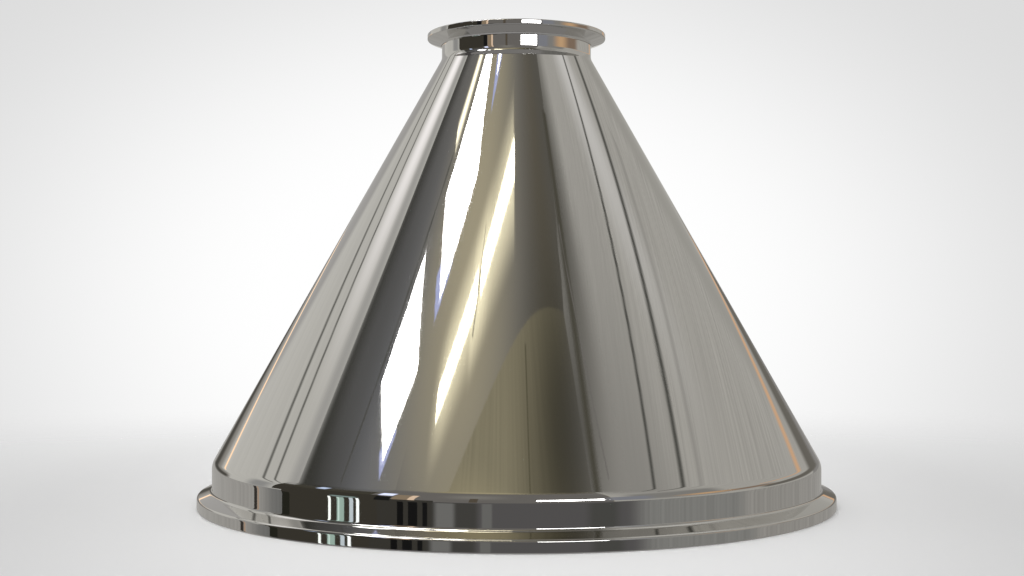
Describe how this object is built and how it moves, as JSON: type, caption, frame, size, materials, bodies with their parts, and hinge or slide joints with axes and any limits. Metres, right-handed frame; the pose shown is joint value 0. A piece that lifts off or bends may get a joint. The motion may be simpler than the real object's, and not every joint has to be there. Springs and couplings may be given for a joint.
{
  "type": "concentric pipe reducer",
  "caption": "Polished stainless concentric reducer: a thin-walled cone with a short collar and neck, each ending in a hygienic clamp flange.",
  "frame": {"origin": "centre of the large clamp face, on the plane that the reducer stands on", "axes": "+Z along the common axis, from the large end up to the small end; X and Y are free, because the shape is turned"},
  "size_m": [0.3192, 0.3192, 0.2371],
  "materials": {
    "polished_steel": "mirror-polished stainless steel"
  },
  "bodies": {
    "root": {"reducer": "polished_steel"}
  },
  "joints": []
}
